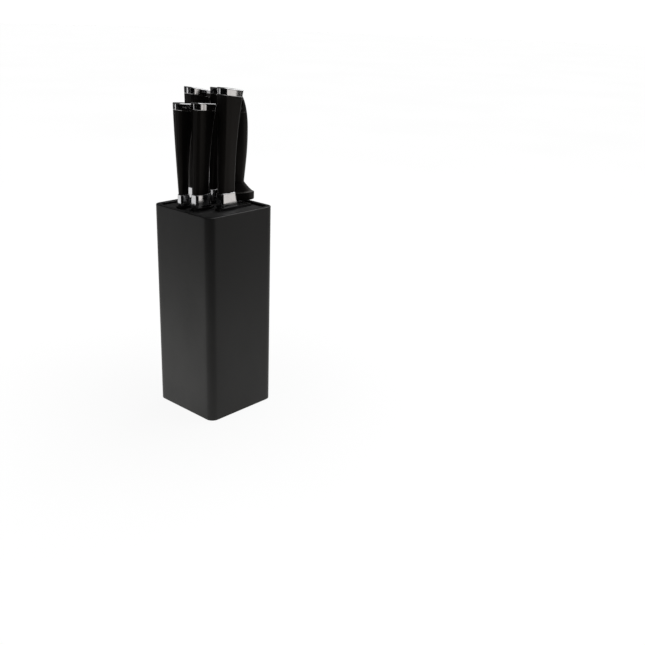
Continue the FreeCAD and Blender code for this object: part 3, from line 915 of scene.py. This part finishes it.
class KNIFEBLOCK_OT_sharpening_steel(Operator):
    """Builds the sharpening steel's rod, guard, grip and end"""
    bl_idname = "knifeblock.sharpening_steel"
    bl_label = "Sharpening steel"

    def execute(self, context):
        scene = context.scene
        steel = SharpeningSteel()
        seam = scene.handle_settings.seam
        body = "sharpening_steel"
        black = bpy.data.materials.get("black_grip") or black_grip(scene.handle_settings)
        add_loft("sharpening_rod", rod_rings(steel, scene.blade_settings), rod_steel(scene.blade_settings),
                 body, ["steel_rod"], 80.0)
        add_loft("sharpening_guard", guard_rings(steel), black, body, ["steel_guard"], 60.0)
        add_loft("sharpening_grip", steel_grip_rings(steel, seam), black, body, ["steel_grip"],
                 60.0)
        add_loft("sharpening_end", steel_cap_rings(steel, seam), black, body, ["steel_end_cap"],
                 60.0)
        return {"FINISHED"}


class KNIFEBLOCK_OT_stage(Operator):
    """Sets up the plain floor, the soft lights and the camera"""
    bl_idname = "knifeblock.stage"
    bl_label = "Stage"

    def execute(self, context):
        settings = context.scene.stage_settings
        add_floor(settings)
        add_lights(settings)
        add_camera(settings)
        context.scene.view_settings.view_transform = "Standard"
        return {"FINISHED"}


# ---------------------------------------------------------------- stage
def seen_only_by(piece, camera=False, others=False):
    """Lets a stage sheet be seen by the camera or by the light, so the floor and its glow can differ."""
    piece.visible_camera = camera
    piece.visible_diffuse = others
    piece.visible_glossy = others
    piece.visible_transmission = others
    piece.visible_shadow = False


def glowing_sheet(name, colour, strength, pale=0.0):
    """White sheet that glows by its own attribute, which can hold a painted shadow, and shows real soft
    shadows in its pale part.
    """
    finish = Finish(name, colour, 0.0, 0.7)
    finish.shader.inputs["Base Color"].default_value = (pale, pale, pale, 1.0)
    finish.shader.inputs["Specular IOR Level"].default_value = 0.0
    finish.shader.inputs["Emission Color"].default_value = (*colour, 1.0)
    cloud = finish.spread(finish.noise(2.0, 2.0), 0.985 * strength, strength)
    finish.link(finish.combine("MULTIPLY", finish.marks(), cloud), finish.shader.inputs["Emission Strength"])
    return finish.material


def add_sheet(name, x, y, z, glow, material):
    """Stage sheet from grids of x, y and z, with a glow value at each point."""
    rows, columns = x.shape
    points = np.stack([x, y, z], -1).reshape(-1, 3)
    i = np.arange(rows - 1)[:, None] * columns
    j = np.arange(columns - 1)[None]
    faces = np.stack([i + j, i + columns + j, i + columns + j + 1, i + j + 1], -1).reshape(-1, 4)
    mesh = bpy.data.meshes.new(name)
    mesh.from_pydata(points.tolist(), [], faces.tolist())
    mesh.shade_smooth()
    set_marks(mesh, glow)
    mesh.materials.append(material)
    piece = bpy.data.objects.new(name, mesh)
    bpy.context.scene.collection.objects.link(piece)
    return piece


def add_floor(settings):
    """Flat round floor whose glow is darkened at the block's foot as a painted shadow, a white dome above it,
    and the light that the floor throws back.

    That light is exp(-(r / reach)^3), where the reach grows towards the back, as on a long sheet of
    white paper, and it is dimmer in front of the block, where the sheet lies in shade."""
    radius = np.linspace(0.0, 1.0, 60)[:, None] ** 2 * FLOOR_RADIUS
    angle = np.linspace(0.0, 2 * math.pi, 97)[None]
    x = radius * np.cos(angle)
    y = radius * np.sin(angle)
    # painted shadow: the floor's glow dips near the block's foot
    shadow = 1.0 - settings.floor_pale_and_painted_shadow * np.exp(-(radius / PAINTED_SHADOW_RADIUS) ** 2) + 0 * angle
    pale = glowing_sheet("pale_floor", tuple(settings.floor_colour), 1.0, settings.floor_pale_and_painted_shadow)
    floor = add_sheet("floor", x, y, np.full(x.shape, FLOOR_LEVEL), shadow, pale)
    seen_only_by(floor, camera=True)

    turn = np.linspace(0.0, math.pi / 2, 24)[:, None]
    white = glowing_sheet("white_dome", (1.0, 1.0, 1.0), 1.05)
    level = FLOOR_RADIUS * np.cos(turn)
    rise = FLOOR_RADIUS * np.sin(turn) + 0 * angle
    dome = add_sheet("dome", level * np.cos(angle), level * np.sin(angle), rise, np.ones(rise.shape), white)
    seen_only_by(dome, camera=True)

    behind = np.maximum(np.cos(angle - AWAY), 0.0) ** 1.5
    reach = settings.glow_sides + (settings.glow_behind - settings.glow_sides) * behind
    shade_side = (0.5 + 0.5 * np.cos(angle - SHADE)) ** 1.5
    light = (1.0 - settings.glow_shade * shade_side) * np.exp(-(radius / reach) ** 3)
    glow = glowing_sheet("floor_glow", (1.0, 0.99, 0.97), settings.glow)
    sheet = add_sheet("floor_glow", x, y, np.full(x.shape, GLOW_LEVEL), light, glow)
    seen_only_by(sheet, others=True)


def add_softbox(name, box, radiance):
    """Softbox that faces the block; its power is radiance times area times pi."""
    azimuth, distance, height, size, colour = box
    light = bpy.data.lights.new(name, "AREA")
    light.shape = "RECTANGLE"
    light.size, light.size_y = size
    light.energy = radiance * size[0] * size[1] * math.pi
    light.color = colour
    lamp = bpy.data.objects.new(name, light)
    turn = math.radians(azimuth)
    place = Vector((distance * math.cos(turn), distance * math.sin(turn), height))
    lamp.location = place
    aim = Vector((0.0, 0.0, min(height, AIM_HEIGHT)))
    lamp.rotation_euler = (aim - place).to_track_quat("-Z", "Y").to_euler()
    lamp.visible_camera = False
    bpy.context.scene.collection.objects.link(lamp)


def add_lights(settings):
    add_softbox("left_softbox", LEFT_BOX, settings.left)
    add_softbox("right_softbox", RIGHT_BOX, settings.right)
    add_softbox("top_softbox", TOP_BOX, settings.top)
    world = bpy.data.worlds.new("dim_studio")
    world.use_nodes = True
    background = world.node_tree.nodes["Background"]
    background.inputs["Color"].default_value = (1.0, 1.0, 1.0, 1.0)
    background.inputs["Strength"].default_value = settings.world
    bpy.context.scene.world = world


def add_camera(settings):
    """Camera looking down at the near upright edge of the block."""
    level = math.cos(CAMERA_PITCH)
    forward = Vector((math.sin(CAMERA_TURN) * level, math.cos(CAMERA_TURN) * level, -math.sin(CAMERA_PITCH)))
    right = Vector((math.cos(CAMERA_TURN), -math.sin(CAMERA_TURN), 0.0))
    up = right.cross(forward)
    side = right * math.cos(CAMERA_ROLL) + up * math.sin(CAMERA_ROLL)
    head = up * math.cos(CAMERA_ROLL) - right * math.sin(CAMERA_ROLL)
    data = bpy.data.cameras.new("camera")
    data.lens = settings.lens
    data.sensor_width = 36.0
    data.clip_start = 0.01
    camera = bpy.data.objects.new("camera", data)
    rotation = Matrix((side, head, -forward)).transposed().to_4x4()
    camera.matrix_world = Matrix.Translation(CAMERA_PLACE) @ rotation
    bpy.context.scene.collection.objects.link(camera)
    bpy.context.scene.camera = camera


# ---------------------------------------------------------------- panel and registration
STEPS = (
    KNIFEBLOCK_OT_casing, KNIFEBLOCK_OT_insides, KNIFEBLOCK_OT_blades, KNIFEBLOCK_OT_bolsters,
    KNIFEBLOCK_OT_grips, KNIFEBLOCK_OT_end_caps, KNIFEBLOCK_OT_sharpening_steel, KNIFEBLOCK_OT_stage,
)


class KNIFEBLOCK_PT_panel(Panel):
    """Lists the steps that build the knife block"""
    bl_idname = "KNIFEBLOCK_PT_panel"
    bl_label = "Knife Block"
    bl_space_type = "VIEW_3D"
    bl_region_type = "UI"
    bl_category = "Knife Block"

    def draw(self, context):
        for step in STEPS:
            self.layout.operator(step.bl_idname)


SETTINGS = {
    "block_settings": BlockSettings, "handle_settings": HandleSettings,
    "blade_settings": BladeSettings, "stage_settings": StageSettings,
}


def register():
    for group in SETTINGS.values():
        bpy.utils.register_class(group)
    for step in STEPS:
        bpy.utils.register_class(step)
    bpy.utils.register_class(KNIFEBLOCK_PT_panel)
    for name, group in SETTINGS.items():
        setattr(bpy.types.Scene, name, PointerProperty(type=group))


def unregister():
    for name in SETTINGS:
        delattr(bpy.types.Scene, name)
    bpy.utils.unregister_class(KNIFEBLOCK_PT_panel)
    for step in reversed(STEPS):
        bpy.utils.unregister_class(step)
    for group in reversed(list(SETTINGS.values())):
        bpy.utils.unregister_class(group)


def main():
    register()
    bpy.ops.knifeblock.casing()
    bpy.ops.knifeblock.insides()
    bpy.ops.knifeblock.blades()
    bpy.ops.knifeblock.bolsters()
    bpy.ops.knifeblock.grips()
    bpy.ops.knifeblock.end_caps()
    bpy.ops.knifeblock.sharpening_steel()
    bpy.ops.knifeblock.stage()


if __name__ == "__main__":
    main()
